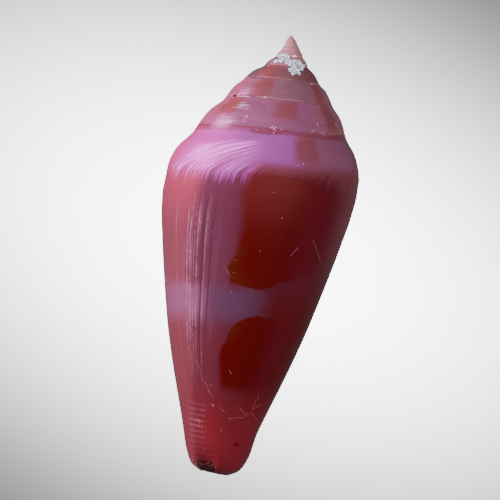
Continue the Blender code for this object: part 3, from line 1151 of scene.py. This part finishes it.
# %% Specks: place in the picture and radius, in pixels
SUTURE_SPECKS = (
    (271.0, 128.0, 0.8), (272.6, 126.6, 0.7), (274.2, 128.8, 1.0), (276.0, 127.4, 0.7), (275.4, 130.6, 0.6),
    (273.4, 132.8, 0.5), (281.7, 129.6, 0.6), (257.8, 130.2, 0.6), (255.8, 129.2, 0.45), (317.2, 124.6, 0.8),
    (318.0, 126.6, 0.6), (313.4, 130.8, 0.8), (312.0, 132.6, 0.6), (315.2, 129.2, 0.5), (320.4, 133.0, 0.6),
    (322.6, 132.6, 0.6), (323.6, 134.6, 0.5), (335.8, 124.2, 0.8), (337.0, 126.4, 0.6), (238.6, 95.6, 1.1),
    (265.4, 97.4, 1.2), (263.8, 97.8, 0.6), (268.5, 65.8, 0.9), (311.6, 83.4, 0.9), (313.6, 84.0, 0.7),
    (303.4, 164.0, 0.7), (298.2, 165.4, 0.4), (225.2, 119.6, 0.8), (224.0, 121.6, 0.6), (247.6, 116.8, 0.6),
)
BODY_SPECKS = (
    (273.5, 192.8, 0.55), (282.2, 217.9, 0.6), (260.1, 251.3, 0.6), (235.4, 260.0, 0.5), (233.6, 272.8, 0.5),
    (231.3, 292.5, 0.5), (226.6, 285.9, 0.5), (212.6, 231.9, 0.5), (212.4, 404.6, 0.8), (213.4, 406.0, 0.7),
    (199.6, 422.9, 0.6), (196.6, 416.2, 0.5), (211.0, 385.2, 0.6), (208.4, 391.4, 0.45), (278.4, 127.0, 0.4),
)
SPECK_FLATNESS = 0.5
for name, places, colour in (
    ("specks", SUTURE_SPECKS, (0.55, 0.30, 0.40, 1.0)),
    ("dust", BODY_SPECKS, (0.30, 0.12, 0.14, 1.0)),
):
    speck_mesh = bmesh.new()
    for x, y, radius in places:
        lump(speck_mesh, x, y, radius, SPECK_FLATNESS)
    grit = Finish(name, Base_Color=colour, Roughness=0.7, Specular_IOR_Level=0.2)
    piece(name, speck_mesh, grit.material)

# %% Lint and scratches: paths in the picture
LINT = (
    ((258.6, 394.0), (258.0, 398.5), (255.5, 401.0), (254.0, 404.5), (252.6, 409.5)),
    ((261.1, 405.4), (257.3, 406.4), (253.4, 408.6), (250.9, 411.1)),
    ((239.4, 407.3), (241.3, 410.5), (244.5, 414.0), (249.0, 414.7), (252.5, 414.0)),
    ((252.5, 414.0), (255.4, 418.2), (257.2, 422.4)),
    ((227.9, 418.2), (234.3, 418.5), (238.1, 417.5), (242.6, 418.2), (245.8, 415.6)),
    ((197.9, 363.9), (200.7, 370.4), (202.3, 379.1), (206.6, 384.5), (208.8, 391.0), (213.1, 397.5)),
    ((219.6, 407.3), (224.7, 412.4)),
    ((229.4, 370.4), (231.6, 374.2)),
    ((220.3, 428.4), (221.9, 431.6)),
    ((323.6, 135.1), (328.6, 136.9)),
    ((201.8, 464.6), (206.0, 463.4), (211.4, 461.8)),
    ((212.6, 464.6), (214.6, 466.4), (216.5, 468.6)),
    ((203.6, 450.4), (206.6, 448.8)),
)
SCRATCHES = (
    ((313.0, 240.6), (317.0, 251.3), (320.4, 262.7)),
    ((298.3, 247.3), (290.3, 256.0)),
    ((225.0, 267.0), (229.0, 273.4)),
    ((250.0, 77.6), (258.0, 77.6), (268.0, 78.8)),
    ((240.0, 95.4), (248.0, 95.2), (256.0, 96.4)),
)
for name, paths, radius, colour, dull, glaze in (
    ("lint", LINT, 0.19, (0.28, 0.11, 0.12, 1.0), 0.9, 0.1),
    ("scratches", SCRATCHES, 0.32, (0.22, 0.08, 0.11, 1.0), 0.6, 0.3),
):
    thread_mesh = bmesh.new()
    for path in paths:
        thread(thread_mesh, path, radius)
    fluff = Finish(name, Base_Color=colour, Roughness=dull, Specular_IOR_Level=glaze)
    piece(name, thread_mesh, fluff.material)

# %% [markdown]
# ## A dark filling in the notch
#
# The notch at the front end, where the animal's breathing tube came out, is filled by a dark sheet: partly
# dark dirt, and partly painted shade where the notch's opening lies in shadow. A small sheet is bent along
# the rim as it would run without the notch, a hair below the shell's surface, so that its edges tuck under.
# A flat patch would leave gaps along the curve.

# %% The dark filling, dirt and painted shade: a bent sheet
NOTCH_FILL_TURNS = (-0.42, -0.20)
NOTCH_FILL_SHARES = (0.975, 0.997)
NOTCH_FILL_SUNK = 0.13 * MM
NOTCH_FILL_THICK = 0.05 * MM
NOTCH_FILL_WAVINESS = 0.03 * MM
# Near black: dark dirt, and painted shade where the notch's opening lies in shadow.
NOTCH_DIRT_AND_SHADE = (0.020, 0.003, 0.003)
NOTCH_DIRT_PALER = (0.075, 0.014, 0.016)
notch_fill_mesh = bmesh.new()
notch_fill_grid = bmesh.ops.create_grid(notch_fill_mesh, x_segments=48, y_segments=24, size=1.0)
for vert in notch_fill_grid["verts"]:
    turn = mix(*NOTCH_FILL_TURNS, (vert.co.x + 1) / 2)
    share = mix(*NOTCH_FILL_SHARES, (vert.co.y + 1) / 2)
    shoulder = suture(turn + 1)
    wrinkle = NOTCH_FILL_WAVINESS * noise.noise(Vector((turn * 60, share * 120, 1)))
    radius = side(turn, share).x - NOTCH_FILL_SUNK + wrinkle
    vert.co = LAID @ place(turn, Vector((radius, mix(shoulder.y, FRONT_FACE, share))))
bmesh.ops.recalc_face_normals(notch_fill_mesh, faces=notch_fill_mesh.faces)
bmesh.ops.solidify(notch_fill_mesh, geom=notch_fill_mesh.faces[:], thickness=NOTCH_FILL_THICK)
notch_fill_grain = (2500.0, 3.0, 0.6)
notch_fill_finish = mottled(
    "notch_dirt_and_painted_shade", NOTCH_DIRT_AND_SHADE, NOTCH_DIRT_PALER, notch_fill_grain, (0.35, 0.65), Roughness=0.6, Specular_IOR_Level=0.3
)
piece("notch_dirt_and_painted_shade", notch_fill_mesh, notch_fill_finish)

# %% [markdown]
# ## Floor and light
#
# A small thing is photographed on a plain pale surface under one large soft light from the upper left,
# with a dim, even surround so that the far side stays dark and the glaze has little to mirror. The floor
# itself glows, a painted pool of light that is brightest at the middle and fades outward, and the shell
# does not see that glow. The one glint in the glaze has a lamp of its own, which is seen only as a mirror
# image.

# %% Floor, glowing with a painted pool of light
FLOOR_HALF = 1.5
FALL_ASIDE, FALL_ALOFT, FALL_ACROSS = 3300.0, 7400.0, 3600.0
GLOW, GLOW_FALL = 2.2, 0.93  # as powers: at the middle, and how quickly it falls
floor_mesh = bmesh.new()
bmesh.ops.create_grid(floor_mesh, x_segments=1, y_segments=1, size=FLOOR_HALF)
floor_data = bpy.data.meshes.new("floor")
floor_mesh.to_mesh(floor_data)
floor_mesh.free()
floor = bpy.data.objects.new("floor", floor_data)
bpy.context.collection.objects.link(floor)
grey = (0.1, 0.1, 0.1, 1.0)
glowing_floor = Finish("floor", Base_Color=grey, Roughness=1.0, Specular_IOR_Level=0.0, Emission_Strength=1.0)


def distance_along(way):
    """How far a point of the floor lies from the picture's middle, this way, in metres."""
    from_middle = glowing_floor.vector_maths("SUBTRACT", {0: glowing_floor.place(), 1: target})
    return glowing_floor.vector_maths("DOT_PRODUCT", {0: from_middle, 1: way}, "Value")


# Painted pool of light: the floor glows brightest at the picture's middle and fades outward.
aside, aloft = distance_along(picture_right), distance_along(picture_up)
fading = aside * aside * FALL_ASIDE + aloft * aloft * FALL_ALOFT + aside * aloft * FALL_ACROSS
brightness = glowing_floor.maths("EXPONENT", GLOW - fading * GLOW_FALL)
glow = glowing_floor.vector_maths("SCALE", {0: (1.0, 1.0, 1.0), "Scale": brightness})
glowing_floor.feed(glowing_floor.shader.inputs["Emission Color"], glow)
floor_data.materials.append(glowing_floor.material)
floor.visible_glossy = False
floor.visible_diffuse = False


# %% Lights
GLINT_PIXEL = (199.0, 153.0)  # where the glaze shows the mirrored window
GLINT_FAR = 0.6


def soft_light(name, right, up, toward, size, power, colour, mirrored):
    """A square light, placed in metres to the right, up and toward the camera of the picture."""
    lamp = bpy.data.lights.new(name, "AREA")
    lamp.size = size
    lamp.energy = power
    lamp.color = colour
    made = bpy.data.objects.new(name, lamp)
    spot = picture_right * right + picture_up * up + to_camera * toward
    made.matrix_world = Matrix.Translation(spot) @ spot.to_track_quat("Z", "Y").to_matrix().to_4x4()
    made.visible_glossy = mirrored
    bpy.context.collection.objects.link(made)
    return made


window_white, ceiling_white, glint_pink = (1.0, 0.96, 1.0), (1.0, 0.99, 0.98), (1.0, 0.36, 0.90)
soft_light("window", -0.505, 0.275, 0.150, size=0.42, power=9.0, colour=window_white, mirrored=False)
soft_light("ceiling", 0.20, 0.03, 0.57, size=0.50, power=4.6, colour=ceiling_white, mirrored=False)
glint_out = on_shell(*GLINT_PIXEL)[1]
glint_way = glint_out * 2 * glint_out.dot(to_camera) - to_camera
along_glint = [glint_way.dot(axis) * GLINT_FAR for axis in (picture_right, picture_up, to_camera)]
glint = soft_light("glint", *along_glint, size=0.26, power=15.0, colour=glint_pink, mirrored=True)
glint.visible_diffuse = False
world = bpy.data.worlds.new("room")
world.use_nodes = True
world.node_tree.nodes["Background"].inputs["Color"].default_value = (0.9, 0.92, 0.95, 1.0)
world.node_tree.nodes["Background"].inputs["Strength"].default_value = 0.16
bpy.context.scene.world = world
